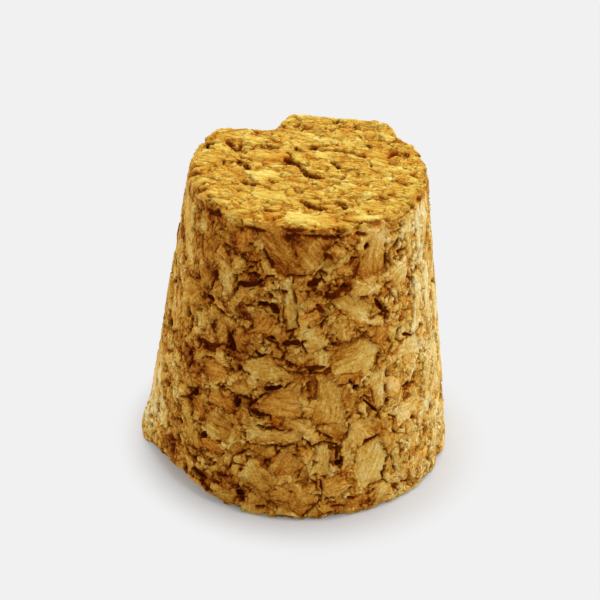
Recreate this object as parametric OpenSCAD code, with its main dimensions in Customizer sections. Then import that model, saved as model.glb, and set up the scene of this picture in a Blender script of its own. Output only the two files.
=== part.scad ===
// Tapered stopper cut from pressed and glued cork granules: one solid piece, with no core and no coating.
//
// Frame: millimetres, +Z along the stopper's axis, from the wide end to the narrow end. The origin is the
// centre of the wide end's face, on which the stopper stands. An azimuth is an angle about +Z that starts at
// -Y and grows towards +X. A share of the length is counted from the wide end.

/* [Stopper] */
// Length between the two end faces
length = 30; // [24:1:40]
// Diameter of the wide end, on which it stands
wide_d = 29.5; // [27:0.5:36]
// Diameter of the narrow end, which enters the mouth first
narrow_d = 22; // [20:0.5:25]
// Width of the worn bevel round both rims
rim_wear = 0.4; // [0.2:0.1:0.8]

/* [Granules] */
// Typical length of a granule that shows on the surface
granule_long = 3.6; // [2.5:0.1:4.5]
// Typical width of a granule that shows on the surface
granule_wide = 2.1; // [1.5:0.1:2.6]
// How far a granule's flat face lies below its neighbours
granule_sink = 0.2; // [0.15:0.05:0.3]
// Steepest tilt of a granule's flat face, in degrees
granule_tilt = 5; // [0:1:8]

/* [Gaps between granules] */
// Typical length of an open gap between granules
gap_long = 2; // [1:0.1:3]
// Typical width of an open gap between granules
gap_wide = 0.5; // [0.3:0.05:0.8]
// Depth of an open gap between granules
gap_deep = 0.9; // [0.5:0.1:1.5]

/* [Broken rims] */
// How far the notch in the narrow rim bites in from the back of that rim
notch_bite = 4.6; // [3:0.1:6]
// How far short of the axis the notch stops, measured across it at its inner edge
notch_edge = 3.4; // [2:0.1:5]
// Slope of the notch's floor below the narrow face, in degrees
notch_slope = 40; // [30:1:50]
// How far the wall that ends the notch leans back from upright, in degrees
notch_lean = 25; // [0:1:40]
// How far that wall turns away from straight back, in degrees
notch_turn = 23; // [0:1:30]
// How far the shallow step beside the notch bites in from the back of the narrow rim
step_bite = 0.85; // [0.4:0.05:1.5]
// How far from the axis that step starts, measured across it
step_edge = 8; // [7:0.1:9]
// How far the large break of the wide rim bites in from that rim
base_bite = 1.8; // [1:0.1:3]
// Slope of that break above the wide face, in degrees
base_slope = 46; // [35:1:60]

/* [Hidden] */
$fn = 96;
cork = [0.80, 0.60, 0.33];
wide_r = wide_d / 2;
narrow_r = narrow_d / 2;
lean = atan((wide_r - narrow_r) / length); // how far the side leans in from upright
clear = 1; // how far a cutting tool stands proud of the surface that it cuts
tool_size = 3 * max(length, wide_d); // a block that reaches past the whole stopper

notch_azimuth = 180;
step_azimuth = 139;
step_slope = 48;
step_lean = 12;
step_turn = 0;
base_azimuth = -53;
// The smaller breaks of each rim: azimuth, bite in from the rim, slope away from the face.
narrow_breaks = [[176, 1.6, 50], [160, 0.55, 50], [262, 0.5, 52], [104, 0.4, 50]];
wide_breaks = [[-23, 0.45, 64], [33, 0.25, 58], [118, 0.7, 50], [205, 0.9, 55], [161, 0.4, 52]];

// Open gaps on the side: azimuth, share of the length, length and width as multiples of the typical ones,
// turn from level, and depth as a multiple of the typical one.
side_gaps = [
    [5, 0.83, 0.85, 1.6, 40, 0.9], [30, 0.93, 0.5, 1.4, 80, 1], [-12, 0.73, 0.7, 1.4, -50, 1.1],
    [-17, 0.74, 0.75, 1.4, 0, 1], [-25, 0.79, 1.2, 1.2, 8, 0.9], [-30, 0.58, 0.95, 1.6, -75, 1.2],
    [-42, 0.53, 1.1, 2.4, -8, 0.8], [-46, 0.35, 0.8, 1.6, 50, 0.9], [-75, 0.47, 0.9, 1.8, 40, 0.9],
    [-25, 0.38, 0.7, 1, 65, 0.8], [17, 0.2, 0.45, 1.4, 80, 1.1], [16.5, 0.24, 1, 0.7, 86, 0.6],
    [24, 0.46, 0.45, 1.2, 60, 1], [-4, 0.62, 1, 1.2, 5, 0.8], [-12, 0.63, 0.45, 1.2, 0, 0.9],
    [-18, 0.57, 0.5, 1.2, -30, 0.8], [50, 0.4, 0.6, 1.6, -10, 0.8], [31, 0.38, 1.6, 1, -52, 0.9],
    [31.5, 0.26, 1.1, 1.4, 8, 0.8], [36, 0.72, 1.3, 1.1, -58, 0.9], [47, 0.9, 0.8, 1.6, 40, 0.8],
    [7, 0.54, 1.2, 1.4, 4, 0.6], [-74, 0.08, 0.6, 1.6, 30, 0.9], [-38, 0.08, 1.1, 1.6, -5, 0.9],
    [-20, 0.07, 0.7, 1.6, 5, 1], [-10, 0.46, 1.1, 0.9, 22, 0.9], [-16, 0.36, 0.9, 1, -12, 1],
    [-10, 0.32, 2.2, 0.6, 0, 0.6], [-9, 0.26, 2.5, 0.6, 2, 0.6], [-39, 0.22, 0.7, 1.4, 40, 0.7],
    [-45, 0.69, 0.65, 1.2, 0, 0.8], [-8, 0.79, 0.35, 1, 0, 0.7], [8, 0.74, 0.8, 1, -60, 0.6],
    [52, 0.57, 1.2, 1, -30, 0.6], [46, 0.6, 0.6, 1.2, 60, 0.7], [60, 0.77, 0.6, 1.4, 20, 0.6],
    [10, 0.94, 0.5, 1.8, 0, 0.4], [-57, 0.59, 0.6, 1.4, 70, 0.7], [-52, 0.47, 0.8, 1, 60, 0.7]
];
// Open gaps on the narrow face: shares of the narrow radius along X and along Y, then as on the side.
face_gaps = [
    [-0.15, 0.07, 0.55, 1.2, -30, 0.8], [-0.05, -0.03, 0.55, 0.6, -55, 0.7],
    [0.03, -0.13, 0.85, 0.6, -35, 0.7], [-0.57, 0.01, 0.45, 1, -30, 0.7], [-0.51, -0.31, 0.55, 1, -10, 0.7],
    [0.05, -0.62, 0.75, 1, -15, 0.7], [-0.02, -0.56, 0.4, 0.8, -50, 0.6], [0.24, 0.06, 0.55, 0.8, -45, 0.7],
    [0.23, -0.12, 0.6, 0.5, 0, 0.4], [0.3, -0.57, 0.7, 0.8, -50, 0.6], [-0.64, 0.27, 0.8, 1.2, -40, 0.7],
    [-0.33, 0.3, 0.6, 1.2, 10, 0.6], [-0.87, 0.29, 0.6, 1.2, 70, 0.6], [0.23, 0.8, 0.45, 1.2, 60, 0.6],
    [0.37, 0.69, 0.4, 1, 60, 0.4], [0.49, 0.39, 0.5, 0.8, -30, 0.6], [0.7, 0.25, 0.45, 0.8, 20, 0.6],
    [0.73, 0.49, 0.5, 0.8, 0, 0.4], [0.64, -0.43, 0.4, 0.8, -40, 0.4], [-0.09, 0.31, 0.5, 0.8, 5, 0.4],
    [0.24, -0.21, 0.6, 0.5, 0, 0.4]
];
// Flat flakes that lie a little below what is round them on the side: corners, each an azimuth and a share of
// the length, and how deep the flake lies as a multiple of the typical sink.
side_flakes = [
    [[[-26, 1.02], [-10, 1.02], [4, 0.85], [-12, 0.84]], 0.8],
    [[[-11, 1.02], [15, 1.02], [10, 0.92], [2, 0.84]], 1.3],
    [[[6, 0.86], [22, 0.93], [24, 0.91], [12, 0.85]], 0.8],
    [[[26, 1.02], [41, 1.02], [40, 0.82], [25, 0.82]], 0.8],
    [[[-10, 0.82], [-5, 0.83], [-1, 0.67], [-6, 0.65]], 1.3],
    [[[-52, 0.63], [-46, 0.64], [-44, 0.58], [-51, 0.57]], 0.8],
    [[[-18, 0.37], [-9, 0.46], [1, 0.47], [2, 0.38], [-10, 0.36]], 1.3],
    [[[-20, 0.31], [3, 0.32], [3, 0.28], [-19, 0.265]], 0.8],
    [[[14, 0.51], [12, 0.57], [18, 0.62], [30, 0.62], [36, 0.56], [31, 0.51]], 1.3],
    [[[5, 0.49], [16, 0.5], [20, 0.35], [6, 0.34]], 0.8],
    [[[30, 0.5], [39, 0.49], [38, 0.37], [33, 0.355]], 0.8],
    [[[-43, 0.8], [-32, 0.8], [-34, 0.71]], 1.3],
    [[[-51, 0.755], [-40, 0.7], [-28, 0.68], [-28, 0.655], [-42, 0.67]], 0.8],
    [[[-41, 0.65], [-34, 0.64], [-32, 0.57], [-38, 0.55]], 1.3],
    [[[-21, 0.72], [-12, 0.7], [-12, 0.63], [-22, 0.645]], 0.8],
    [[[-49, 0.32], [-42, 0.34], [-38, 0.29], [-45, 0.24]], 1.3],
    [[[-40, 0.29], [-33, 0.33], [-26, 0.3], [-27, 0.23], [-36, 0.23]], 0.8],
    [[[-9, 0.22], [-4, 0.26], [2, 0.22], [1, 0.17], [-8, 0.17]], 1.3],
    [[[8, 0.27], [13.5, 0.27], [14, 0.16], [9.5, 0.15]], 0.8],
    [[[19, 0.28], [22, 0.27], [22, 0.19], [19, 0.17]], 0.8],
    [[[23, 0.17], [26, 0.24], [35, 0.26], [39, 0.18], [35, 0.1], [27, 0.08]], 1.3],
    [[[42, 0.34], [61, 0.35], [60, 0.28], [44, 0.27]], 0.8],
    [[[-80, 0.6], [-73, 0.66], [-68, 0.48], [-74, 0.46]], 1.3],
    [[[-74, 0.82], [-61, 0.81], [-58, 0.73], [-70, 0.71]], 0.8],
    [[[-61, 0.95], [-53, 0.91], [-53, 0.86], [-60, 0.89]], 1.3],
    [[[-23, 0.54], [-14, 0.58], [-3, 0.51], [-14, 0.475], [-24, 0.5]], 0.8],
    [[[-45, 0.49], [-34, 0.5], [-30, 0.45], [-40, 0.41]], 1.3],
    [[[12, 0.77], [20, 0.78], [33, 0.73], [30, 0.67], [20, 0.71]], 1.3],
    [[[46, 0.55], [58, 0.56], [62, 0.49], [50, 0.47]], 1.3],
    [[[-72, 0.23], [-62, 0.21], [-60, 0.13], [-70, 0.12]], 0.8]
];

// The multiples of the typical sink at which the flakes lie, and the height of the room cut over one.
flake_sinks = [0.8, 1.3];
flake_room = 3;

// The rest of the side carries its gaps and granules in rows, each moved out of line by a seed.
rest_start = 64;
rest_end = 272;
rest_rows = 5;
rest_columns = 8;
// The faces carry theirs in rings: how many, and the share of the face's radius.
face_rings = [[4, 0.30], [8, 0.66]];

// Radius of the plain tapered side at a height above the wide face.
function radius_at(height) = wide_r + (narrow_r - wide_r) * height / length;

// The sum of a list of numbers.
function sum(values, i = 0) = i < len(values) ? values[i] + sum(values, i + 1) : 0;

// A number between low and high that is always the same for one seed.
function pick(seed, low, high) = rands(low, high, 1, seed)[0];

// Angular outline of a granule or a gap, pointed at both ends, with its corners moved a little by the seed.
function shard(long, wide, seed) =
    let (shift = rands(-0.1, 0.1, 6, seed))
    [
        [-long / 2, wide * shift[0]],
        [long * (shift[1] - 0.25), -wide * 0.5],
        [long * (shift[2] + 0.25), -wide * 0.42],
        [long / 2, wide * shift[3]],
        [long * (shift[4] + 0.25), wide * 0.5],
        [long * (shift[5] - 0.25), wide * 0.42]
    ];

// Places its children on the side, with their +Z pointing straight out of it and +Y up its slope.
module on_side(azimuth, share, turn) {
    rotate([0, 0, azimuth])
        translate([0, -radius_at(share * length), share * length])
            rotate([90 - lean, 0, 0])
                rotate([0, 0, turn])
                    children();
}

// Places its children on the narrow face, with their +Z pointing out of it.
module on_narrow_face(share_x, share_y, turn) {
    translate([share_x * narrow_r, share_y * narrow_r, length])
        rotate([0, 0, turn])
            children();
}

// Places its children on the wide face, with their +Z pointing out of it.
module on_wide_face(azimuth, share, turn) {
    rotate([0, 0, azimuth])
        translate([0, -share * wide_r, 0])
            mirror([0, 0, 1])
                rotate([0, 0, turn])
                    children();
}

// The room of an open gap: a shard cut straight down, sized in multiples of the typical gap.
module gap(long, wide, deep, seed) {
    translate([0, 0, -deep * gap_deep])
        linear_extrude(deep * gap_deep + clear)
            polygon(shard(long * gap_long, wide * gap_wide, seed));
}

// The room above a granule's flat and slightly tilted face, sized in multiples of the typical granule.
module above_granule(long, wide, seed) {
    translate([0, 0, -granule_sink])
        rotate([pick(seed + 1, -granule_tilt, granule_tilt), pick(seed + 2, -granule_tilt, granule_tilt), 0])
            linear_extrude(granule_sink + clear)
                polygon(shard(long * granule_long, wide * granule_wide, seed));
}

// A prism that stands on the side and has a flake's corners.
module over_flake(corners) {
    middle = [for (axis = [0, 1]) sum([for (c = corners) c[axis]]) / len(corners)];
    on_side(middle[0], middle[1], 0)
        translate([0, 0, -flake_room])
            linear_extrude(flake_room + clear)
                polygon([for (c = corners) [
                    (c[0] - middle[0]) * radius_at(c[1] * length) * PI / 180,
                    (c[1] - middle[1]) * length / cos(lean)
                ]]);
}

// The tapered body as far in as a depth below its side, past both ends.
module deeper_cone(depth) {
    low = -clear;
    high = length + clear;
    thinner = depth / cos(lean);
    rotate_extrude()
        polygon([[0, low], [radius_at(low) - thinner, low], [radius_at(high) - thinner, high], [0, high]]);
}

// The room above the flakes of the side, whose faces follow its curve.
module above_flakes() {
    for (sink = flake_sinks)
        difference() {
            for (flake = side_flakes)
                if (flake[1] == sink)
                    over_flake(flake[0]);
            deeper_cone(sink * granule_sink);
        }
}

// Everything above a plane that starts at a reach from the axis and slopes down from there outwards.
module above_slope(azimuth, reach, slope) {
    rotate([0, 0, azimuth])
        translate([0, -reach, 0])
            rotate([slope, 0, 0])
                translate([-tool_size / 2, -tool_size, 0])
                    cube([tool_size, 2 * tool_size, tool_size]);
}

module narrow_break(azimuth, bite, slope) {
    translate([0, 0, length])
        above_slope(azimuth, narrow_r - bite, slope);
}

module wide_break(azimuth, bite, slope) {
    mirror([0, 0, 1])
        above_slope(azimuth, wide_r - bite, slope);
}

// A break of the narrow rim that ends at a leaning wall, on the -X side of that wall.
module ended_break(azimuth, bite, slope, edge, wall_lean, wall_turn) {
    intersection() {
        narrow_break(azimuth, bite, slope);
        translate([-edge, narrow_r - bite, length])
            rotate([0, wall_lean, -wall_turn])
                translate([-tool_size, -tool_size, -tool_size])
                    cube([tool_size, 2 * tool_size, 2 * tool_size]);
    }
}

// The notch in the back of the narrow rim, and the shallow step on the far side of the lip between them.
module notch_and_step() {
    ended_break(notch_azimuth, notch_bite, notch_slope, notch_edge, notch_lean, notch_turn);
    mirror([1, 0, 0])
        ended_break(-step_azimuth, step_bite, step_slope, step_edge, step_lean, step_turn);
}

// The tapered body before anything broke off, with both rims worn to a bevel.
module worn_cone() {
    rotate_extrude()
        polygon([
            [0, 0],
            [wide_r - rim_wear, 0],
            [radius_at(rim_wear), rim_wear],
            [radius_at(length - rim_wear), length - rim_wear],
            [narrow_r - rim_wear, length],
            [0, length]
        ]);
}

module rim_breaks() {
    notch_and_step();
    for (b = narrow_breaks)
        narrow_break(b[0], b[1], b[2]);
    wide_break(base_azimuth, base_bite, base_slope);
    for (b = wide_breaks)
        wide_break(b[0], b[1], b[2]);
}

// Gaps and flakes whose places are set one by one.
module placed_relief() {
    for (i = [0:len(side_gaps) - 1])
        let (g = side_gaps[i])
            on_side(g[0], g[1], g[4])
                gap(g[2], g[3], g[5], 100 + i);
    for (i = [0:len(face_gaps) - 1])
        let (g = face_gaps[i])
            on_narrow_face(g[0], g[1], g[4])
                gap(g[2], g[3], g[5], 200 + i);
    above_flakes();
}

// Gaps and granule faces on the rest of the side.
module rest_relief() {
    for (row = [0:rest_rows - 1], column = [0:rest_columns - 1])
        let (
            seed = 1000 + 20 * (row * rest_columns + column),
            step = (rest_end - rest_start) / rest_columns,
            azimuth = rest_start + step * (column + 0.5 + 0.3 * (row % 2)),
            share = (row + 0.5) / rest_rows,
            aside = step * pick(seed, -0.3, 0.3),
            above = pick(seed + 1, -0.06, 0.06),
            gap_aside = step * pick(seed + 2, 0.3, 0.7),
            gap_above = pick(seed + 3, -0.07, 0.07)
        ) {
            on_side(azimuth + aside, share + above, pick(seed + 4, 0, 180))
                above_granule(pick(seed + 5, 0.7, 1.2), pick(seed + 6, 0.7, 1.2), seed + 7);
            on_side(azimuth + gap_aside, share + gap_above, pick(seed + 10, 0, 180))
                gap(pick(seed + 11, 0.5, 1.3), pick(seed + 12, 0.8, 1.8), pick(seed + 19, 0.5, 1), seed + 13);
        }
}

// Granule faces on the narrow face and gaps in the wide one.
module face_relief() {
    for (ring = [0:len(face_rings) - 1], i = [0:face_rings[ring][0] - 1])
        let (
            seed = 5000 + 20 * (10 * ring + i),
            azimuth = 360 * (i + pick(seed, -0.2, 0.2)) / face_rings[ring][0],
            share = face_rings[ring][1] + pick(seed + 1, -0.06, 0.06)
        ) {
            on_narrow_face(share * sin(azimuth), -share * cos(azimuth), pick(seed + 2, -35, 15))
                above_granule(pick(seed + 3, 0.5, 0.9), pick(seed + 4, 0.5, 0.9), seed + 5);
            on_wide_face(azimuth, share, pick(seed + 8, 0, 180))
                gap(pick(seed + 9, 0.6, 1.4), pick(seed + 10, 0.8, 1.8), pick(seed + 12, 0.5, 1), seed + 11);
        }
}

module stopper() {
    color(cork)
        difference() {
            worn_cone();
            rim_breaks();
            placed_relief();
            rest_relief();
            face_relief();
        }
}

stopper();
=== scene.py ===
"""Looks of the cork stopper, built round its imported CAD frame.

The visible skin is one closed mesh. It starts as the CAD solid itself, evenly meshed, with its notch,
broken rims, sunk flakes and open gaps. Cork granules are then laid over it like flat shards, the small ones
first, so that each vertex belongs to one granule and knows how far away that granule's edge is. The finer
relief and the colour follow from that.

Lengths are in millimetres until the skin is finished. An azimuth is in degrees about +Z, 0 at -Y, growing
towards +X. A height is measured from the wide face, on which the stopper stands.
"""
import itertools
import math

import bmesh
import bpy
import numpy as np
from mathutils import Matrix, Vector


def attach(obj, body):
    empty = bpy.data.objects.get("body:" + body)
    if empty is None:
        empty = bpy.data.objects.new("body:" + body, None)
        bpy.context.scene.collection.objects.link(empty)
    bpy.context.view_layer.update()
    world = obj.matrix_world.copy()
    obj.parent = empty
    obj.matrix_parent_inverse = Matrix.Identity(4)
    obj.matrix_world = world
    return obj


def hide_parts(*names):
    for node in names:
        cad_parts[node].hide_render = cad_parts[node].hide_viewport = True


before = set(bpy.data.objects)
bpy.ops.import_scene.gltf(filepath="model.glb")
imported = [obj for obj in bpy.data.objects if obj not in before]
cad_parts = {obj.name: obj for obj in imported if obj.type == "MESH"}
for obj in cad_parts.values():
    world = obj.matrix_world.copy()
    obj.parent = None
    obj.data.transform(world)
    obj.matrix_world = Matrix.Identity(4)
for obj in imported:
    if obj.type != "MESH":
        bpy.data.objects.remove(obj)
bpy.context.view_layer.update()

MM = 0.001
SEED = 7
RNG = np.random.default_rng(SEED)


# -------- sizes, from the CAD frame

RIM_WEAR = 0.4  # the CAD's bevel on both rims


def vertices_of(mesh):
    points = np.empty(3 * len(mesh.vertices))
    mesh.vertices.foreach_get("co", points)
    return points.reshape(-1, 3)


def end_radius(points, height):
    """Radius that an end face would have without the bevel."""
    rows = np.abs(points[:, 2] - height) < 0.001
    return np.hypot(points[rows, 0], points[rows, 1]).max() + RIM_WEAR


CAD = vertices_of(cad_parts["stopper"].data) / MM
LENGTH = CAD[:, 2].max()
WIDE_R = end_radius(CAD, 0.0)
NARROW_R = end_radius(CAD, LENGTH)
LEAN = math.atan((WIDE_R - NARROW_R) / LENGTH)

# The broken places of the rims, as in the CAD: azimuth, bite in from the rim, slope away from the face.
NARROW_BREAKS = [(176, 1.6, 50), (160, 0.55, 50), (262, 0.5, 52), (104, 0.4, 50)]
WIDE_BREAKS = [
    (-53, 1.8, 46), (-23, 0.45, 64), (33, 0.25, 58), (118, 0.7, 50), (205, 0.9, 55), (161, 0.4, 52),
]
# The two that end at a wall: the break, how far from the axis the wall's inner end stands along X, its lean,
# and how far it turns from straight back.
ENDED_BREAKS = [((180, 4.6, 40), -3.4, 25, 23), ((139, 0.85, 48), 8.0, 12, 0)]

FINE_MESH = 0.11  # distance between vertices while the relief is made
MOST_TRIANGLES = 196000


def radius_at(height):
    return WIDE_R + (NARROW_R - WIDE_R) * height / LENGTH


def outwards(azimuth):
    a = math.radians(azimuth)
    return np.array([math.sin(a), -math.cos(a), 0.0])


def azimuth_of(place):
    return math.degrees(math.atan2(place[0], -place[1]))


# -------- noise and steps

LATTICE = 32


def noise(points, size, seed, octaves=1):
    """Smooth noise of about -1 to 1, whose lumps are about size millimetres across."""
    rng = np.random.default_rng(SEED * 1000 + seed)
    total = np.zeros(len(points))
    strength = 1.0
    for _ in range(octaves):
        table = rng.uniform(-1, 1, (LATTICE,) * 3)
        turn, _ = np.linalg.qr(rng.normal(size=(3, 3)))
        cell = points @ turn / size + 100.0
        low = np.floor(cell).astype(int)
        part = cell - low
        part = part * part * (3 - 2 * part)
        for corner in itertools.product((0, 1), repeat=3):
            weight = np.ones(len(points))
            index = []
            for axis, step in enumerate(corner):
                weight *= part[:, axis] if step else 1 - part[:, axis]
                index.append((low[:, axis] + step) % LATTICE)
            total += strength * weight * table[tuple(index)]
        size *= 0.5
        strength *= 0.5
    return total


def ragged(points, seed, fine, size):
    """Noise in three directions: a coarse part, and a fine part of the given strength and size."""
    return np.column_stack([
        0.13 * noise(points, 0.8, seed + k, 2) + fine * noise(points, size, seed + 10 + k) for k in range(3)
    ])


def rise(low, high, value):
    """Smooth step from 0 at low to 1 at high."""
    t = np.clip((value - low) / (high - low), 0, 1)
    return t * t * (3 - 2 * t)


# -------- the CAD solid, evenly meshed

def placed(name, data):
    """A new object in the scene."""
    obj = bpy.data.objects.new(name, data)
    bpy.context.scene.collection.objects.link(obj)
    return obj


def new_object(bm, name):
    mesh = bpy.data.meshes.new(name)
    bm.to_mesh(mesh)
    bm.free()
    return placed(name, mesh)


def modified(obj):
    """The object's mesh with its modifiers applied."""
    return bpy.data.meshes.new_from_object(obj.evaluated_get(bpy.context.evaluated_depsgraph_get()))


def even_body():
    """Vertices and triangles of the CAD solid, in millimetres, with its edges a little worn."""
    bm = bmesh.new()
    bm.from_mesh(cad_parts["stopper"].data)
    bm.transform(Matrix.Scale(1 / MM, 4))
    bmesh.ops.remove_doubles(bm, verts=bm.verts[:], dist=0.0005)
    body = new_object(bm, "even_body")
    even = body.modifiers.new("even", "REMESH")
    even.mode = "VOXEL"
    even.voxel_size = FINE_MESH
    worn = body.modifiers.new("worn", "SMOOTH")
    worn.factor = 0.5
    worn.iterations = 4
    mesh = modified(body)
    mesh.calc_loop_triangles()
    points = vertices_of(mesh)
    faces = np.empty(3 * len(mesh.loop_triangles), dtype=np.int32)
    mesh.loop_triangles.foreach_get("vertices", faces)
    bpy.data.objects.remove(body)
    bpy.data.meshes.remove(mesh)
    return points, faces.reshape(-1, 3)


def vertex_normals(points, faces):
    """Area-weighted normals of the vertices."""
    a, b, c = (points[faces[:, k]] for k in range(3))
    cross = np.cross(b - a, c - a)
    total = np.zeros_like(points)
    for k in range(3):
        for axis in range(3):
            total[:, axis] += np.bincount(faces[:, k], cross[:, axis], len(points))
    return unit(total)


def unit(vectors):
    return vectors / np.maximum(np.linalg.norm(vectors, axis=1, keepdims=True), 1e-12)


def evened(values, faces, times):
    """Each vertex's value averaged with its neighbours' along the mesh, again and again."""
    start = faces.ravel()
    end = np.roll(faces, -1, axis=1).ravel()
    count = np.bincount(start, minlength=len(values)) + 1
    for _ in range(times):
        total = values.copy()
        for axis in range(values.shape[1]):
            total[:, axis] += np.bincount(start, values[end, axis], len(values))
        values = total / count[:, None]
    return values


def break_depth(points, azimuth, bite, slope, rim_r, height, up):
    """How far inside the plane of a break of a rim each point lies."""
    s = math.radians(slope)
    normal = outwards(azimuth) * math.sin(s) + np.array([0, 0, up * math.cos(s)])
    on_plane = outwards(azimuth) * (rim_r - bite) + np.array([0, 0, height])
    return (on_plane - points) @ normal


def depths(points):
    """How far below its first surface each point lies, and how far below the surface left by the breaks."""
    height = points[:, 2]
    side = (radius_at(height) - np.hypot(points[:, 0], points[:, 1])) * math.cos(LEAN)
    first = np.min([side, LENGTH - height, height], axis=0)
    left = first
    for to_face in (LENGTH - height, height):
        left = np.minimum(left, (side + to_face - RIM_WEAR) / math.sqrt(2))
    for azimuth, bite, slope in NARROW_BREAKS:
        left = np.minimum(left, break_depth(points, azimuth, bite, slope, NARROW_R, LENGTH, 1))
    for azimuth, bite, slope in WIDE_BREAKS:
        left = np.minimum(left, break_depth(points, azimuth, bite, slope, WIDE_R, 0, -1))
    for (azimuth, bite, slope), wall, lean, turn in ENDED_BREAKS:
        floor = break_depth(points, azimuth, bite, slope, NARROW_R, LENGTH, 1)
        lean, turn = math.radians(lean), math.radians(turn)
        along = (points[:, 0] - wall) * -math.copysign(1, wall)
        along = along * math.cos(turn) - (points[:, 1] - NARROW_R + bite) * math.sin(turn)
        beside = along * math.cos(lean) + (LENGTH - height) * math.sin(lean)
        left = np.minimum(left, np.maximum(floor, beside))
    return first, left


# -------- granules

class Near:
    """Finds the vertices within a radius of a place, in a grid of cells."""

    CELL = 2.0  # millimetres
    SPAN = 128  # cells each way, with the middle at 0

    def __init__(self, points):
        keys = self.key(*self.cell_of(points).T)
        self.points = points
        self.order = np.argsort(keys, kind="stable")
        names, starts = np.unique(keys[self.order], return_index=True)
        ends = np.append(starts[1:], len(keys))
        self.cells = {name: (start, end) for name, start, end in zip(names, starts, ends)}

    def cell_of(self, place):
        return np.floor(place / self.CELL).astype(int) + self.SPAN // 2

    def key(self, x, y, z):
        return x + self.SPAN * (y + self.SPAN * z)

    def __call__(self, centre, radius):
        low, high = self.cell_of(centre - radius), self.cell_of(centre + radius)
        found = []
        for place in itertools.product(*(range(a, b + 1) for a, b in zip(low, high))):
            cell = self.cells.get(self.key(*place))
            if cell:
                found.append(self.order[cell[0]:cell[1]])
        if not found:
            return np.empty(0, dtype=int)
        found = np.concatenate(found)
        return found[((self.points[found] - centre) ** 2).sum(axis=1) < radius * radius]

    def nearest(self, place):
        found = self(place, 6.0)
        return found[((self.points[found] - place) ** 2).sum(axis=1).argmin()]


class Skin:
    """What each vertex knows about the granule that it belongs to."""

    def __init__(self, points, normals):
        self.points = points
        self.normals = normals
        self.near = Near(points)
        self.jagged = points + ragged(points, 20, fine=0.08, size=0.26)
        first, left = depths(points)
        self.broken = rise(0.15, 0.5, first - left)
        self.in_gap = rise(0.27, 0.42, left)    # 1 inside the CAD's open gaps
        count = len(points)
        self.edge = np.full(count, 9.0)         # distance to the nearest edge
        self.gap = np.zeros(count)              # half the width of the gap at that edge
        self.sunk = np.zeros(count)             # depth of that gap
        self.lift = np.zeros(count)             # height of the granule's face
        self.tone = np.full(count, 0.5)
        self.warmth = np.zeros(count)
        self.pit = np.zeros(count)              # how far into an open pit
        self.laid = np.zeros(count)             # 1 on a granule, 0 among the crumbs
        self.grain = points.copy()              # place along and across the granule's fibres

    def at(self, place):
        """The place and the normal of the vertex nearest to a place."""
        row = self.near.nearest(place)
        return self.points[row], self.normals[row]

    def local(self, place, normal, turn, radius):
        """Vertices near a place, and their jagged places in its frame: along, across, outwards."""
        found = self.near(place, radius)
        offset = self.jagged[found] - place
        return found, offset @ frame_at(normal, turn)

    def lay(self, place, normal, reach, turn, look, edges):
        """Lays one flat granule over what is there. edges are the directions and reaches of its edges."""
        found, at = self.local(place, normal, turn, reach + 0.8)
        if not len(found):
            return
        angles, reaches, gaps, sunk = edges
        sides = reaches[:, None] - (np.outer(np.cos(angles), at[:, 0]) + np.outer(np.sin(angles), at[:, 1]))
        inside = np.minimum(sides.min(axis=0), look["thick"] - np.abs(at[:, 2]))
        nearest = sides.argmin(axis=0)
        own = inside > 0
        closer = (inside <= 0) & (-inside < self.edge[found])
        for mask, distance in ((own, inside), (closer, -inside)):
            rows = found[mask]
            self.edge[rows] = distance[mask]
            self.gap[rows] = gaps[nearest[mask]]
            self.sunk[rows] = sunk[nearest[mask]]
        rows = found[own]
        x, y = at[own, 0], at[own, 1]
        self.lift[rows] = look["lift"] + look["tilt"][0] * x + look["tilt"][1] * y
        self.tone[rows] = look["tone"] + look["fade"] * x / reach
        self.warmth[rows] = look["warmth"]
        self.laid[rows] = 1
        self.grain[rows] = at[own] + look["shift"]


def frame_at(normal, turn):
    """Columns: along a granule's fibres, across them, and outwards. turn is from level."""
    up = np.array([0, 0, 1.0]) if abs(normal[2]) < 0.7 else np.array([0, 1.0, 0])
    right = np.cross(up, normal)
    right /= np.linalg.norm(right)
    up = np.cross(normal, right)
    t = math.radians(turn)
    along = right * math.cos(t) + up * math.sin(t)
    across = -right * math.sin(t) + up * math.cos(t)
    return np.column_stack([along, across, normal])


def edge_gaps(count, open_share, widest):
    """Half the width, and the depth, of the gap at each edge. Most edges are tight."""
    is_open = RNG.random(count) < open_share
    gaps = np.where(is_open, RNG.uniform(0.4, 1, count) * widest, 0.0)
    sunk = np.where(is_open, RNG.uniform(0.2, 0.45, count), 0.0)
    return gaps, sunk


def random_edges(long, wide, open_share, widest):
    """Edges of an angular shard."""
    count = RNG.integers(4, 7)
    angles = 2 * math.pi * (np.arange(count) + RNG.uniform(-0.3, 0.3, count) + RNG.random()) / count
    reaches = 0.5 * np.hypot(long * np.cos(angles), wide * np.sin(angles)) * RNG.uniform(0.7, 1.05, count)
    return angles, reaches, *edge_gaps(count, open_share, widest)


def cornered_edges(corners, open_share, widest):
    """Edges of a flake whose corners are given, along and across, round the place where it is laid."""
    ends = np.roll(corners, -1, axis=0)
    step = ends - corners
    out = np.column_stack([step[:, 1], -step[:, 0]])
    out /= np.linalg.norm(out, axis=1, keepdims=True)
    reaches = (out * corners).sum(axis=1)
    out *= np.sign(reaches)[:, None]
    angles = np.arctan2(out[:, 1], out[:, 0])
    return angles, np.abs(reaches), *edge_gaps(len(corners), open_share, widest)


def look_of(tone, warmth, lift, thick, tilt=0.05):
    return {
        "tone": tone, "warmth": warmth, "lift": lift, "thick": thick,
        "fade": RNG.uniform(-0.12, 0.12), "tilt": RNG.normal(0, tilt, 2), "shift": RNG.uniform(-50, 50, 3),
    }


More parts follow.
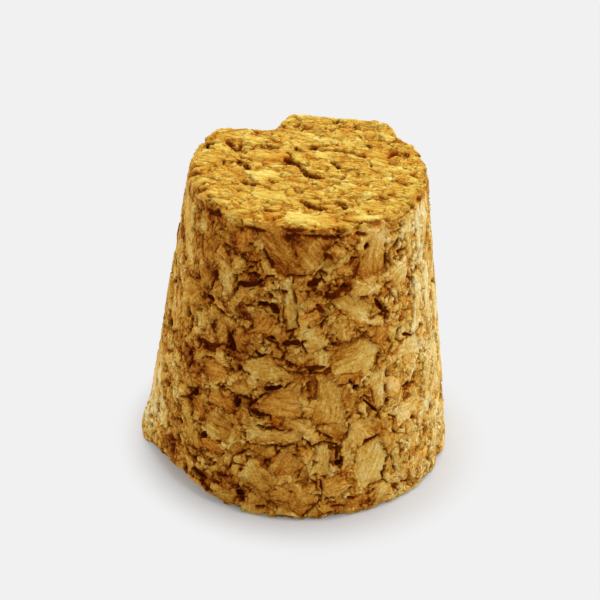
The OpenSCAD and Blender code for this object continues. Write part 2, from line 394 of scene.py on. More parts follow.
def random_places(count):
    """Places spread evenly over the whole form."""
    side = math.pi * (WIDE_R + NARROW_R) * LENGTH / math.cos(LEAN)
    wide, narrow = math.pi * WIDE_R ** 2, math.pi * NARROW_R ** 2
    share = RNG.random(count) * (side + wide + narrow)
    azimuth = 2 * math.pi * RNG.random(count)
    spread = RNG.random(count)
    height = LENGTH * spread
    radius = radius_at(height)
    on_wide, on_narrow = share < wide, share > wide + side
    radius = np.where(on_wide, WIDE_R * np.sqrt(spread), radius)
    radius = np.where(on_narrow, NARROW_R * np.sqrt(spread), radius)
    height = np.where(on_wide, 0, np.where(on_narrow, LENGTH, height))
    return np.column_stack([radius * np.sin(azimuth), -radius * np.cos(azimuth), height])


# Granules laid at random: how many, their length, the widest half-gap at their edges, how far they lie
# above or below the surface.
RANDOM_GRANULES = [
    (4200, (0.7, 1.8), 0.10, 0.03),
    (1500, (1.8, 3.0), 0.12, 0.04),
    (200, (3.0, 4.8), 0.14, 0.05),
]
FACE_SLIVERS = 1100
FACE_TURN = (-12, 22)  # the narrow face's slivers lie mostly one way: mean and spread
FACING_UP = 0.6  # upward part of the normal from which a place is on the narrow face
CRUMBLY = (38, 95)  # azimuths where the granules are mostly small
MOST_PALE = 0.74  # tone of the palest of them


def lay_random_granules(skin):
    for count, lengths, widest, lifts in RANDOM_GRANULES:
        for place in random_places(count):
            row = skin.near.nearest(place)
            place, normal = skin.points[row], skin.normals[row]
            long = RNG.uniform(*lengths)
            azimuth = azimuth_of(place)
            small_only = skin.broken[row] > 0.5 or CRUMBLY[0] < azimuth < CRUMBLY[1] and RNG.random() < 0.6
            if long > 1.8 and small_only:
                continue
            if normal[2] > FACING_UP:
                lay_sliver(skin, place, normal, min(long, 2.6))
                continue
            tone = min(RNG.normal(0.58, 0.11), MOST_PALE) + 0.05 * (CRUMBLY[0] < azimuth < CRUMBLY[1])
            look = look_of(tone, RNG.normal(0, 0.35), RNG.normal(0, lifts), 0.6 + 0.2 * long)
            edges = random_edges(long, long * RNG.uniform(0.22, 0.65), 0.25, widest)
            skin.lay(place, normal, 0.75 * long, RNG.uniform(0, 180), look, edges)


def lay_sliver(skin, place, normal, long):
    """Lays one thin sliver on the narrow face."""
    look = look_of(RNG.normal(0.66, 0.03), RNG.normal(0, 0.1), RNG.normal(0, 0.03), 0.8, 0.08)
    edges = random_edges(long, RNG.uniform(0.2, 0.6), open_share=0.15, widest=0.07)
    skin.lay(place, normal, 0.75 * long, RNG.normal(*FACE_TURN), look, edges)


def lay_slivers(skin):
    """Covers most of the narrow face with slivers."""
    for _ in range(FACE_SLIVERS):
        x, y = RNG.uniform(-NARROW_R, NARROW_R, 2)
        if math.hypot(x, y) < NARROW_R:
            place, normal = skin.at(np.array([x, y, LENGTH]))
            lay_sliver(skin, place, normal, RNG.uniform(0.8, 2.4))


def lay_crumbs(skin):
    """Fills the whole surface with crumbs, which the larger granules then mostly cover."""
    size = 0.55
    cell = skin.jagged / size
    low = np.floor(cell).astype(int)
    table = np.random.default_rng(SEED + 1).random((LATTICE, LATTICE, LATTICE, 6))
    first = np.full(len(cell), 9.0)
    second = np.full(len(cell), 9.0)
    owner = np.zeros((len(cell), 6))
    for step in itertools.product((-1, 0, 1), repeat=3):
        at = low + step
        drawn = table[tuple((at % LATTICE).T)]
        distance = np.linalg.norm(at + drawn[:, :3] - cell, axis=1)
        closer = distance < first
        second = np.where(closer, first, np.minimum(second, distance))
        owner[closer] = drawn[closer]
        first = np.where(closer, distance, first)
    skin.edge = (second - first) * size * 0.5
    skin.gap = np.where(owner[:, 3] > 0.5, 0.12 * owner[:, 4], 0.02)
    skin.sunk = 0.15 + 0.35 * owner[:, 4]
    skin.lift = 0.2 * (owner[:, 5] - 0.65)
    skin.tone = 0.46 + 0.30 * owner[:, 5] + 0.08 * rise(0.6, 0.9, skin.normals[:, 2])
    skin.warmth = 0.5 * owner[:, 3]


# Flakes that stand out on the side: the turn of their fibres from level, tone from 0, dark, to 1, pale, and
# warmth from -1, olive, to 1, red, then the azimuth and height of corner after corner.
SIDE_FLAKES = [
    (-42, 0.32, 0.2, -26, 30, -9, 30, 4, 25.5, -12, 25.2),
    (-42, 0.37, 0.2, -11, 30, 15, 30, 10, 27.5, 2, 25.2),
    (10, 0.61, -0.3, 5, 25.9, 22, 27.7, 24, 27.2, 12, 25.6),
    (88, 0.59, 0.2, 26, 30, 41, 30, 40, 24.6, 25, 24.6),
    (-78, 0.64, -0.4, -10, 24.8, -5, 25, -1, 20.2, -6, 19.6),
    (-80, 0.69, -0.5, -52, 18.8, -46, 19.3, -44, 17.3, -51, 17.2),
    (6, 0.54, 0.5, -18, 11.2, -9, 13.7, 1, 14.1, 2, 11.3, -10, 10.9),
    (2, 0.58, 0, -20, 9.3, 3, 9.6, 3, 8.4, -19, 7.9),
    (10, 0.63, -0.4, 14, 15.4, 12, 17, 18, 18.6, 30, 18.5, 36, 16.8, 31, 15.2),
    (84, 0.58, -0.1, 4, 14.8, 16, 15, 20, 10.5, 6, 10.2),
    (84, 0.64, 0, 30, 15, 39, 14.8, 38, 11, 33, 10.6),
    (-60, 0.66, -0.1, -43, 24, -32, 24, -34, 21.3),
    (-12, 0.51, 0.3, -51, 22.7, -40, 21.1, -28, 20.4, -28, 19.6, -42, 20.2),
    (70, 0.52, 0, -41, 19.6, -34, 19.2, -32, 17, -38, 16.4),
    (60, 0.42, 0.5, -21, 21.5, -11, 21, -11, 18.8, -22, 19.3),
    (20, 0.46, 0.5, -49, 9.6, -42, 10.2, -38, 8.6, -45, 7.3),
    (-10, 0.59, -0.3, -40, 8.8, -33, 10, -26, 9, -27, 6.8, -36, 6.9),
    (60, 0.51, 0.4, -9, 6.5, -4, 7.8, 2, 6.6, 1, 5, -8, 5),
    (82, 0.68, -0.2, 8, 8, 13.5, 8.2, 14, 4.8, 9.5, 4.4),
    (85, 0.63, 0, 18, 8.4, 22, 8, 22, 5.6, 19, 5),
    (60, 0.69, -0.3, 23, 5, 26, 7.3, 35, 7.8, 39, 5.5, 35, 3, 27, 2.5),
    (20, 0.46, 0.4, 10.5, 4.6, 20, 4.8, 23, 3.2, 17, 2.2, 11, 2.6),
    (-5, 0.61, 0.1, 42, 10.3, 61, 10.5, 60, 8.5, 44, 8),
    (80, 0.59, -0.1, -80, 18, -73, 19.8, -68, 14.4, -74, 13.8),
    (76, 0.56, 0, -72, 20, -66, 19, -61, 15.2, -66, 14.6),
    (20, 0.59, 0, -74, 24.6, -61, 24.2, -58, 22, -70, 21.3),
    (-30, 0.71, -0.2, -61, 28.5, -53, 27.2, -53, 25.8, -60, 26.6),
    (20, 0.58, -0.3, -23, 16.2, -14, 17.3, -3, 15.3, -14, 14.2, -24, 15),
    (10, 0.49, 0.5, -45, 14.6, -34, 15, -30, 13.4, -40, 12.2),
    (4, 0.44, 0.5, -38, 11.9, -26, 12, -26, 10.4, -38, 10.2),
    (-30, 0.61, -0.2, 12, 23, 20, 23.5, 33, 22, 30, 20, 20, 21.3),
    (30, 0.61, 0.1, 42, 25, 54, 25.5, 52, 22.6, 42, 22.8),
    (4, 0.39, 0.3, 9, 1.6, 30, 2.3, 31, 1, 10, 0.6),
    (-10, 0.56, -0.1, -2, 19.2, 8, 20.6, 12, 18.4, 4, 17.6),
    (86, 0.22, 0, 4, 14.9, 8, 15, 8, 13, 4.5, 12.9),
    (-12, 0.64, 0, 46, 16.4, 58, 16.8, 62, 14.6, 50, 14),
    (70, 0.68, -0.2, -72, 6.8, -62, 6.4, -60, 4, -70, 3.6),
    (86, 0.55, -0.2, 52, 29.4, 58, 29.5, 59, 25, 54, 24.6),
    (88, 0.59, -0.1, 61, 29.8, 67, 29.8, 68, 23.4, 62, 23),
    (88, 0.55, 0, 69, 29.8, 77, 29.8, 78, 24.4, 70, 24),
    (84, 0.57, -0.1, 57, 23.6, 63, 22, 64, 17.8, 59, 18.4),
    (88, 0.59, -0.2, 66, 22.4, 72, 23, 74, 16.5, 68, 16),
    (88, 0.55, 0, 76, 22.8, 83, 23, 85, 15, 78, 14.6),
    (84, 0.57, -0.1, 62, 13.6, 68, 14.2, 69, 9, 64, 8.6),
    (88, 0.57, -0.2, 71, 15, 77, 14, 79, 7.5, 73, 7),
    (86, 0.57, -0.1, 65, 7.8, 72, 6.6, 73, 2.2, 67, 1.8),
    (88, 0.55, 0, 80, 13.6, 87, 13.6, 88, 5, 82, 4.6),
]
# The same on the narrow face, with the x and y of the corners.
FACE_FLAKES = [
    (-8, 0.54, 0.4, -5.6, 2.2, -1.6, 2.2, -1.8, 0.8, -5.4, 0.9),
    (0, 0.72, -0.1, -6.2, -1.4, -3.4, -0.9, -1.8, -2.2, -4.4, -3.2),
    (12, 0.7, -0.3, -5.2, -4.6, -2, -4.2, -1.6, -5.6, -4.6, -6),
    (-10, 0.72, 0, 0.4, 3.5, 2.2, 3.4, 2.2, 2, 0.5, 2),
    (0, 0.54, 0.4, 4.8, 3.3, 8.2, 3.3, 8, 2.1, 5.2, 2.2),
    (0, 0.66, 0, -2, -7.8, 2.8, -7.5, 3, -9.4, -1.8, -9.8),
    (8, 0.68, -0.1, 3.2, -7.8, 7, -7.6, 6.4, -8.8, 3.4, -8.9),
    (20, 0.42, 0.2, -4.2, -7.6, -2.2, -7.4, -2.4, -9, -3.8, -9.2),
]


def on_side(azimuth, height):
    """The place on the side at an azimuth and a height."""
    return outwards(azimuth) * radius_at(height) + np.array([0, 0, height])


def on_face(x, y):
    """The place on the narrow face at x and y."""
    return np.array([x, y, LENGTH])


def places_of(numbers, where):
    """The places of a row's pairs of numbers. where is on_side or on_face."""
    return np.array([where(*pair) for pair in zip(numbers[::2], numbers[1::2])])


def lay_flake(skin, flake, where, widest):
    turn, tone, warmth, *numbers = flake
    corners = places_of(numbers, where)
    place, normal = skin.at(corners.mean(axis=0))
    flat = (corners - place) @ frame_at(normal, turn)[:, :2]
    reach = np.linalg.norm(flat, axis=1).max()
    look = look_of(tone, warmth, lift=0.03, thick=1.6)
    edges = cornered_edges(flat, open_share=0.5, widest=widest)
    skin.lay(place, normal, reach, turn, look, edges)


def lay_placed_flakes(skin):
    for flake in SIDE_FLAKES:
        lay_flake(skin, flake, on_side, widest=0.14)
    for flake in FACE_FLAKES:
        lay_flake(skin, flake, on_face, widest=0.05)


# Small pits besides the CAD's open gaps.
RANDOM_PITS = 300
RIM_PITS = 46  # round each rim
FRONT = 62  # azimuths to either side up to which the side has its own cracks
# Crevices under the front of the narrow rim: azimuth, height, length, width, turn, depth.
RIM_CREVICES = [
    (8, 29.3, 4.2, 0.45, -3, 0.5), (-6, 29.2, 1.8, 0.4, 6, 0.4), (-24, 29.3, 2.6, 0.4, 4, 0.4),
    (27, 29.2, 1.6, 0.5, -20, 0.4), (-48, 29.1, 1.8, 0.7, 20, 0.5), (-60, 28.8, 1.4, 0.6, -30, 0.5),
]
# Cracks between the granules of the front: width, depth, then the azimuth and height of point after point.
CRACKS = [
    (0.35, 0.6, -31, 22.5, -30, 23.5, -26, 23.7, -21, 23.9, -20, 24.4, -16, 25.1, -14, 25.2),
    (0.3, 0.4, -28, 24.7, -23, 24.9, -20, 25), (0.25, 0.3, -27, 26, -23, 26.1, -20, 26.4),
    (0.6, 0.6, -18, 22.2, -17, 22), (0.8, 0.8, -12, 22.2, -11, 22.1), (0.35, 0.4, -10, 21.2, -10, 20.5),
    (0.4, 0.5, -14, 18.9, -10, 18.5, -9, 18), (0.4, 0.3, -9, 18, -6, 17.4, -7, 16.8),
    (0.5, 0.35, -6, 18.8, -2, 18.4, 2, 19), (0.6, 0.8, -32, 18.1, -31, 17.4, -30, 17.1),
    (0.4, 0.5, -19, 17.1, -16, 16.7), (0.3, 0.25, -10, 16.3, -5, 15.8, 0, 15.7, 5, 16.1),
    (0.5, 0.3, 5, 16, 10, 15.6, 14, 16.3, 13, 17, 15, 17.2), (0.4, 0.4, 5, 25.7, 5, 24.1),
    (0.7, 0.4, 10, 23.3, 15, 23.7, 20, 24.4), (0.25, 0.25, -1, 24, 3, 24),
    (0.6, 0.4, 8, 28.4, 8, 27.8, 12, 27.4),
    (0.22, 0.25, -2, 23.2, -1, 22.3, 2, 21.8, 5, 22.1, 9, 22.4, 11, 22.4, 13, 21.9),
    (0.3, 0.2, -13, 28.6, -9, 28), (0.4, 0.4, -34, 28.8, -30, 28.8), (0.4, 0.25, -26, 27.8, -24, 27.3),
    (0.4, 0.3, 13, 19.2, 13, 19), (0.4, 0.35, -26, 20.7, -26, 20.5), (0.3, 0.3, -27, 21.8, -23, 21.8),
    (0.35, 0.6, -30, 12.4, -26, 12.2, -20, 12.2, -18, 11.9), (0.4, 0.5, -25, 12.2, -26, 11.3),
    (0.4, 0.7, -18, 11.9, -20, 11.3, -18, 10.7, -14, 10.7, -12, 11.1),
    (0.3, 0.5, -17, 12.2, -15, 12.7, -13, 13.2, -10, 13.6, -6, 13.9, -4, 14.5, -2, 14.8),
    (0.4, 0.35, -12, 14.4, -12, 14.2), (0.22, 0.25, -1, 10.9, 2, 11.1, 3, 11.7),
    (0.5, 0.4, -12, 9.6, -10, 9.6), (0.25, 0.25, -7, 10.4, -6, 9.6, -1, 9.6),
    (0.22, 0.3, -20, 7.7, -16, 7.6, -13, 7.7, -9, 7.9, -4, 8, 0, 8.3, 3, 8.7, 3, 9.3),
    (0.3, 0.4, 3, 8.8, 6, 8.1, 10, 8.4, 13, 8.4, 16, 8.1, 17, 7.6, 18, 6.9, 18, 5.9),
    (0.6, 0.8, 17, 6, 18, 5.7), (0.3, 0.3, 8, 9.5, 13, 8.9), (0.3, 0.3, -22, 8.1, -22, 7.9),
    (0.3, 0.4, -18, 7, -21, 6.3, -24, 5.6, -25, 4.7), (0.3, 0.3, -18, 6.2, -18, 5.8),
    (0.25, 0.25, -7, 6.5, -10, 6.2, -12, 6.5), (0.25, 0.3, 2, 6.5, 4, 6.1),
    (0.22, 0.3, 5, 4.7, 8, 4.1, 9, 3.4), (0.35, 0.3, -33, 8.3, -31, 8.5), (0.4, 0.4, -28, 3.2, -26, 3.5),
    (0.25, 0.25, -1, 4.5, 1, 4.6), (0.3, 0.3, -3, 3.4, -1, 3.1), (0.8, 0.8, -19, 2, -19, 1.5),
    (0.6, 0.6, -13, 1.1, -11, 1.1), (0.3, 0.3, -6, 2.1, -1, 1.9), (0.4, 0.3, 5, 1.7, 8, 1.7),
    (0.35, 0.35, 15, 1.4, 20, 1.3), (0.5, 0.3, 21, 2.1, 25, 2.1), (0.5, 0.4, -56, 28.8, -51, 29, -47, 29.6),
    (0.3, 0.3, -65, 27.9, -60, 28.3), (0.4, 0.4, -44, 27.8, -42, 28.1),
    (0.4, 0.35, -40, 26.8, -36, 26.7, -32, 26.2), (0.3, 0.4, -40, 25.3, -38, 25.2, -34, 25),
    (0.4, 0.35, -49, 23.5, -48, 23.9), (0.5, 0.3, -46, 23.3, -45, 23), (0.4, 0.25, -56, 21.6, -52, 22),
    (0.45, 0.5, -48, 20.5, -45, 20.5), (0.35, 0.4, -43, 20.4, -39, 20.1), (0.3, 0.25, -44, 18.8, -41, 18.2),
    (0.5, 0.4, -58, 18.2, -55, 17.7), (0.9, 0.35, -47, 15.9, -42, 16), (0.7, 0.7, -41, 15.8, -38, 15.7),
    (0.4, 0.35, -56, 14.5, -50, 14.5, -50, 13.2, -52, 12.4), (0.5, 0.4, -75, 14.1, -72, 13.9),
    (0.5, 0.35, -70, 11.7, -64, 12.4), (0.35, 0.6, -54, 8.8, -50, 9.4, -46, 10.6, -44, 11.3),
    (0.4, 0.6, -49, 10.6, -44, 10.6), (0.25, 0.3, -64, 8.3, -59, 9.1),
    (0.25, 0.3, -56, 7.9, -55, 7.3, -51, 7.3), (0.3, 0.35, -50, 7.2, -47, 6.5),
    (0.35, 0.5, -42, 7.5, -40, 7, -40, 6.5, -43, 6.6), (0.25, 0.3, -43, 8.1, -41, 8.8),
    (0.3, 0.3, -61, 5.6, -56, 5.1, -60, 4.8), (0.3, 0.4, -70, 4.7, -67, 5.2, -65, 5.8),
    (0.35, 0.3, -56, 3.8, -51, 4.4), (0.6, 0.7, -41, 2.5, -38, 2.3, -36, 1.6, -32, 1.2),
    (0.35, 0.5, 30, 28.2, 31, 27.7), (0.5, 0.35, 29, 27.1, 26, 26.4, 24, 25.4),
    (0.4, 0.5, 47, 26.2, 50, 26.2, 53, 26.1), (0.4, 0.4, 50, 27.3, 51, 27.1),
    (0.3, 0.25, 42, 26.4, 42, 25.6), (0.4, 0.35, 27, 22.9, 30, 22.7), (0.3, 0.5, 34, 22.5, 38, 21.6),
    (0.3, 0.5, 36, 21.3, 39, 20.7, 39, 19.9), (0.3, 0.4, 43, 20.4, 46, 20.1),
    (0.5, 0.3, 45, 21.3, 45, 21.1), (0.22, 0.35, 25, 19.6, 28, 19.2, 32, 18.4),
    (0.25, 0.3, 52, 24.4, 54, 24.2, 58, 23.8), (0.25, 0.3, 54, 21.6, 58, 20.4),
    (0.4, 0.35, 40, 17.9, 42, 17.4), (0.35, 0.45, 45, 17.5, 47, 16.9, 51, 16.9, 53, 17),
    (0.22, 0.3, 47, 16.3, 50, 15.4), (0.3, 0.5, 21, 14.7, 24, 13.8), (0.35, 0.4, 28, 13.8, 28, 13.6),
    (0.25, 0.35, 26, 12.6, 27, 11.7), (0.3, 0.5, 29, 11.8, 31, 11.1, 33, 10.5, 35, 9.8),
    (0.25, 0.35, 22, 11.1, 20, 10.4), (0.25, 0.3, 37, 13.2, 39, 12.9),
    (0.5, 0.5, 48, 11.9, 50, 11.4, 54, 11.6), (0.3, 0.4, 40, 9.7, 43, 9.1),
    (0.4, 0.45, 28, 8, 31, 7.7, 35, 7.9), (0.3, 0.4, 25, 7.6, 26, 7), (0.4, 0.4, 48, 8.4, 49, 8.2),
    (0.22, 0.25, 42, 7.6, 48, 6.8), (0.3, 0.4, 43, 6.5, 45, 6, 45, 5.3), (0.5, 0.4, 60, 5.3, 61, 5.1),
    (0.3, 0.35, 35, 3.2, 38, 2.5), (0.3, 0.3, 45, 2, 49, 1.4), (0.5, 0.4, 28, 12.6, 29.5, 11.9, 29, 11.2),
    (0.45, 0.45, 30.5, 11.9, 31.5, 11.1, 33, 10.9), (0.5, 0.4, 33, 10, 34.5, 10.4, 35.5, 10.6),
    (0.5, 0.4, 33.5, 22.8, 35, 22, 34.5, 21.5), (0.45, 0.4, 36.5, 21.9, 37, 21.2, 38.5, 21.1),
    (0.4, 0.4, 38.5, 19.9, 39.5, 20.6, 40.5, 20.5), (0.4, 0.35, 6, 22.3, 8, 22.5, 9, 21.6),
]
# The same on the narrow face, many of them round the CAD's gaps, with the x and y of the points.
FACE_CRACKS = [
    (0.9, 0.6, -2, 1.3, -1.7, 0.9, -1.2, 0.6), (0.55, 0.6, -0.8, 0.1, -0.5, -0.5, -0.2, -1.1),
    (0.55, 0.6, -0.2, -1.1, 0.5, -1.6, 1.1, -1.8), (0.65, 0.6, -6.6, 0.5, -5.9, -0.1, -5.7, -0.7),
    (0.65, 0.6, -6, -2.9, -5.7, -3.4, -5, -3.5), (0.55, 0.5, 2.2, 1.2, 2.6, 0.7, 3.1, 0.3),
    (0.3, 0.3, 2.6, 0, 3.2, -0.4, 3.4, -1), (0.45, 0.45, 2.1, -1.3, 2.6, -1.5, 3.2, -1.5),
    (0.45, 0.3, 1.9, -2.2, 2.8, -2.4), (0.65, 0.55, -0.2, -6.1, 0.3, -6.7, 0.7, -6.9, 1.4, -7),
    (0.55, 0.45, 2.7, -5.7, 3.2, -6.1, 3.5, -6.8), (0.5, 0.4, -0.6, -4, -0.4, -4.3),
    (0.65, 0.45, -7.6, 3.8, -7.2, 3, -6.8, 2.4), (0.65, 0.45, -6.5, 3.5, -6.7, 2.8, -6.5, 2.3),
    (0.45, 0.35, -6.1, 2.6, -5.5, 2.9, -5.1, 3.4), (0.35, 0.3, -6, 2, -5.2, 2.6),
    (0.45, 0.3, -4.6, 3.3, -4.3, 3), (0.65, 0.4, -3.9, 3.5, -3.5, 3.1, -3.1, 3.2),
    (0.65, 0.4, -1.3, 3.5, -1, 3.2, -0.5, 3.1), (0.5, 0.35, -0.4, 3, -0.1, 3.6, 0.4, 3.8),
    (0.45, 0.3, 0.9, 3.4, 1.8, 3.5, 2.9, 3.2, 4, 3.1), (0.5, 0.3, 4.1, 2.8, 5.1, 2.4),
    (0.65, 0.4, 7.4, 2.5, 7.7, 2.8, 7.9, 3.5), (0.5, 0.35, 8.8, 3.4, 9.1, 3),
    (0.5, 0.35, 5.1, 4.8, 5.3, 4.4, 5.7, 4.1), (0.5, 0.35, 7.3, 5.1, 7.8, 5.5, 8.4, 5.4),
    (0.65, 0.4, -9.8, 2.7, -9.6, 3.3, -9.2, 3.6), (0.65, 0.4, 2.3, 8.8, 2.7, 8.5),
    (0.65, 0.35, 3.9, 7.6, 4.2, 7.3), (0.35, 0.3, 1.8, 7.2, 2.1, 6.8),
    (0.35, 0.3, -4.1, 0.2, -3.7, -0.1, -2.9, -0.3), (0.35, 0.3, -3.5, -2.4, -3.2, -3),
    (0.3, 0.3, -5, -3.4, -3.9, -3.5, -3.4, -4), (0.5, 0.3, 6.7, -4.4, 7.2, -4.8),
    (0.3, 0.3, 4, -1.7, 4.7, -1.4), (0.35, 0.3, 8, -1.6, 8.6, -1.9, 9.1, -2.4),
    (0.45, 0.3, 3.2, -8.7, 4.4, -9, 5.8, -8.9), (0.3, 0.25, -1.1, -3.4, 0.3, -3.7, 2.3, -3.5),
    (0.3, 0.3, -9.2, -5.6, -8.5, -5.9, -7.8, -6), (0.35, 0.3, 0.9, 6.1, 1.2, 5.9),
    (0.45, 0.3, -1.2, 7.9, -1.5, 7.3), (0.35, 0.3, -2.7, 7.5, -2.3, 6.9), (0.3, 0.3, 1.8, 4.9, 2.4, 4.3),
    (0.35, 0.3, -3.6, 4.9, -3.1, 4.5, -2.6, 4.3), (0.3, 0.3, -2, 2.4, -1.7, 1.8),
    (0.3, 0.25, -7.9, 0.7, -8, -0.4), (0.3, 0.25, 5.2, 1.1, 5.7, 0.8),
    (0.35, 0.3, -4.2, -7.6, -3.2, -7.9, -2.4, -7.7),
]


def open_crack(skin, crack, where, soft, shade):
    """Opens a crack. soft is the share of its half-width that slopes, shade how strongly painted shade
    darkens its sides.
    """
    width, depth, *numbers = crack
    places = places_of(numbers, where)
    for start, end in zip(places, places[1:]):
        long = np.linalg.norm(end - start)
        found = skin.near((start + end) / 2, long / 2 + 1.0)
        offset = skin.jagged[found] - start
        along = np.clip(offset @ (end - start) / long ** 2, 0, 1)
        away = np.linalg.norm(offset - along[:, None] * (end - start), axis=1)
        skin.pit[found] = np.maximum(skin.pit[found], depth * rise(0, soft, 1 - 2 * away / width))
        # Painted shade along both sides of the crack.
        skin.tone[found] -= shade * depth * np.exp(-(away / (1.4 * soft * width)) ** 2)


def sink_pit(skin, place, long, wide, turn, depth):
    """Opens one pit with pointed ends and soft walls."""
    place, normal = skin.at(place)
    found, at = skin.local(place, normal, turn, 0.6 * long + 0.6)
    reach = np.hypot(at[:, 0] / (0.5 * long), at[:, 1] / (0.5 * wide))
    inside = np.clip(1 - reach, -1, 1) * np.where(np.abs(at[:, 2]) < 1.5, 1, 0)
    skin.pit[found] = np.maximum(skin.pit[found], depth * rise(-0.05, 0.4, inside))


def sink_pits(skin):
    for azimuth, height, *crevice in RIM_CREVICES:
        sink_pit(skin, on_side(azimuth, height), *crevice)
    for crack in CRACKS:
        open_crack(skin, crack, on_side, soft=0.7, shade=0.2)
    for crack in FACE_CRACKS:
        open_crack(skin, crack, on_face, soft=0.4, shade=0.25)
    for place in random_places(RANDOM_PITS):
        place, normal = skin.at(place)
        if abs(azimuth_of(place)) < FRONT and abs(normal[2]) < FACING_UP:
            continue
        long, turn, depth = RNG.uniform(0.5, 1.8), RNG.uniform(0, 180), RNG.uniform(0.2, 0.6)
        if normal[2] > FACING_UP:
            long, turn, depth = 0.6 * long, RNG.normal(*FACE_TURN), 0.5 * depth
        sink_pit(skin, place, long, long * RNG.uniform(0.18, 0.4), turn, depth)
    for height in (0, LENGTH):
        for azimuth in RNG.uniform(0, 360, RIM_PITS):
            long, turn, depth = RNG.uniform(0.6, 2.0), RNG.uniform(-40, 40), RNG.uniform(0.1, 0.35)
            sink_pit(skin, on_side(azimuth, height), long, 0.5 * long, turn, depth)


# Painted light: the right side, which the lamps light most, is painted paler.
PAINTED_LIGHT_RIGHT = 0.30  # how much paler the right side is
# Patches of darker or paler tone, with painted shade and painted light among them: azimuth, height,
# half-width in degrees, half-height, how much darker, or paler where below 0.
TONE_PATCHES_AND_PAINTED_LIGHT = [
    (-45, 3.4, 18, 1.8, 0.2), (-14, 2.6, 16, 1.4, 0.14), (14, 24, 8, 1, 0.38), (24, 26.6, 3, 1.6, 0.3),
    (-46, 28.8, 16, 1.4, 0.16), (-50, 13, 10, 3, 0.1), (-28, 17.6, 6, 2, 0.16), (2, 16, 8, 1, 0.2),
    # (-8, 29.2, 42, 0.5, 0.2) is painted shade under the overhanging front lip.
    (-24, 24.6, 12, 0.8, 0.14), (34, 9, 6, 0.8, 0.14), (-8, 29.2, 42, 0.5, 0.2),
    (-43.5, 15.9, 5, 0.8, 0.25), (-52.5, 14.2, 4, 0.8, 0.2), (-32.4, 5.9, 2.5, 0.6, 0.16),
    (22.8, 2.1, 2, 0.5, 0.2), (-55, 22, 4, 0.6, 0.16), (-33, 26.5, 14, 1.6, 0.2), (-31, 18, 9, 3.5, 0.1),
    (-33, 8.9, 11, 1.6, 0.16), (20, 18, 7, 1.6, 0.18), (5, 10.8, 9, 1.4, 0.16), (-11, 5.3, 9, 1.4, 0.17),
    (4, 25.6, 11, 1.6, -0.2), (-11, 23, 7, 1.8, -0.16), (0, 19.6, 6, 2.6, -0.22),
    (20, 27.8, 5, 1.4, -0.18), (31, 20, 7, 1.6, -0.14), (43, 12.8, 8, 3, -0.22), (45, 4.6, 11, 3, -0.22),
    # (-78, 6, ...), (-82, 2.5, ...) and (-83, 13, ...) are painted light on the pale left edge.
    (6, 5.8, 9, 1.4, -0.17), (-36, 3.4, 7, 1.4, -0.22), (20, 2.8, 14, 1.2, -0.14), (-78, 6, 14, 5, -0.26),
    (-82, 2.5, 10, 4, -0.22), (-83, 13, 9, 14, -0.08), (-66, 20, 8, 9, -0.04), (-50, 23.5, 8, 4, 0.12),
    (66, 24, 12, 6, -0.14),
]


def patches_and_painted_light(skin):
    azimuth = np.degrees(np.arctan2(skin.points[:, 0], -skin.points[:, 1]))
    off_face = rise(0.4, 1.2, LENGTH - skin.points[:, 2])
    # Painted light: the right side is painted paler.
    pale = PAINTED_LIGHT_RIGHT * rise(22, 76, azimuth) * rise(-125, -85, -azimuth)
    skin.tone += pale * off_face
    for middle, height, half_wide, half_high, strength in TONE_PATCHES_AND_PAINTED_LIGHT:
        off = np.hypot((azimuth - middle) / half_wide, (skin.points[:, 2] - height) / half_high)
        skin.tone -= strength * rise(-1.3, -0.5, -off) * off_face
    # The palest tone allowed rises where painted light lies: on the right side and on the left and right
    # edges.
    most = MOST_PALE + pale + rise(55, 70, np.abs(azimuth)) + 1 - off_face
    skin.tone = np.minimum(skin.tone, most)


# -------- relief and the finished skin

LIP = (6.6, 8.2, 2.6, 0.45)  # the torn lip beside the notch: x, y, half-width, how far it stands up
# The left end of the large break: azimuth, height, reach, and how far it stands out.
CORNER = (-81, 1.4, 3.2, 0.5)


def raised_lip(points):
    x, y, half_wide, up = LIP
    off = np.hypot((points[:, 0] - x) / half_wide, points[:, 1] - y)
    near_face = rise(LENGTH - 1, LENGTH - 0.3, points[:, 2])
    return up * rise(-1, -0.2, -off) * near_face * rise(-8.2, -7.8, -points[:, 0])


def standing_corner(points):
    azimuth, height, reach, out = CORNER
    off = np.linalg.norm(points - on_side(azimuth, height), axis=1) / reach
    return out * rise(-1, -0.2, -off)


